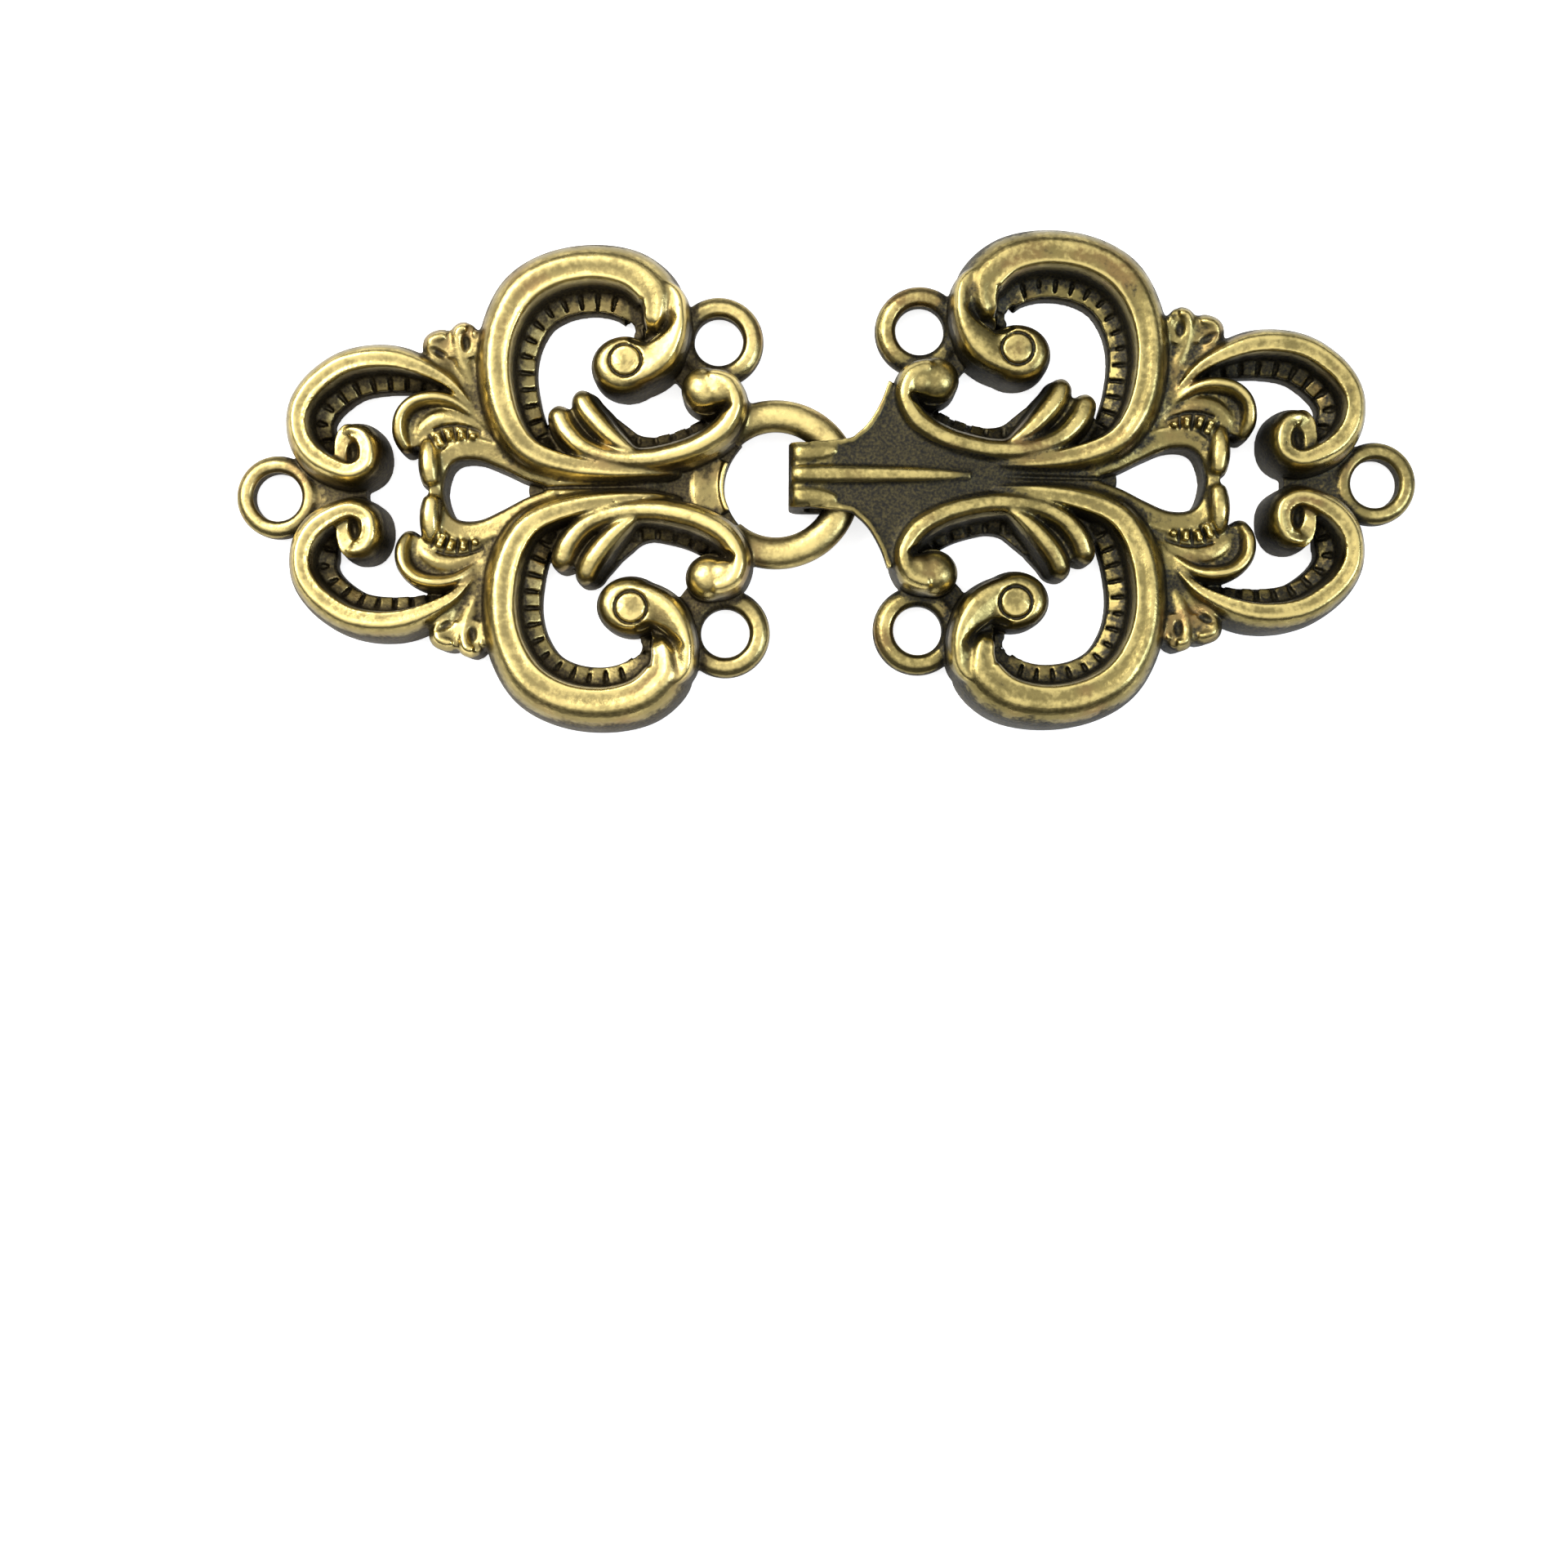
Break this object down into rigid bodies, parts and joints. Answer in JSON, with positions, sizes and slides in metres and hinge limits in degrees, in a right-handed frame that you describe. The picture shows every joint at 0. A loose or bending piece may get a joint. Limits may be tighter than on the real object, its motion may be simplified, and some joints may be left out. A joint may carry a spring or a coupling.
{
  "type": "hook and eye clasp",
  "caption": "fastened hook and eye cloak clasp of pierced cast scrollwork: a ringed eye half, and a hook half whose folded tongue passes over the ring and back under it, with round sewing loops",
  "frame": {"origin": "centre of the bounding box in plan, on the flat back", "axes": "+X along the clasp from the eye half to the hook half, +Y towards the upper scrolls, +Z out of the face of the relief"},
  "size_m": [0.0896, 0.038, 0.0054],
  "materials": {
    "eye_brass": "antique brass plating, polished on the ridges and darkened in the hollows",
    "hook_brass": "antique brass plating, a little darker and more mottled"
  },
  "bodies": {
    "root": {"eye_half": "eye_brass", "hook_half": "hook_brass"}
  },
  "joints": []
}
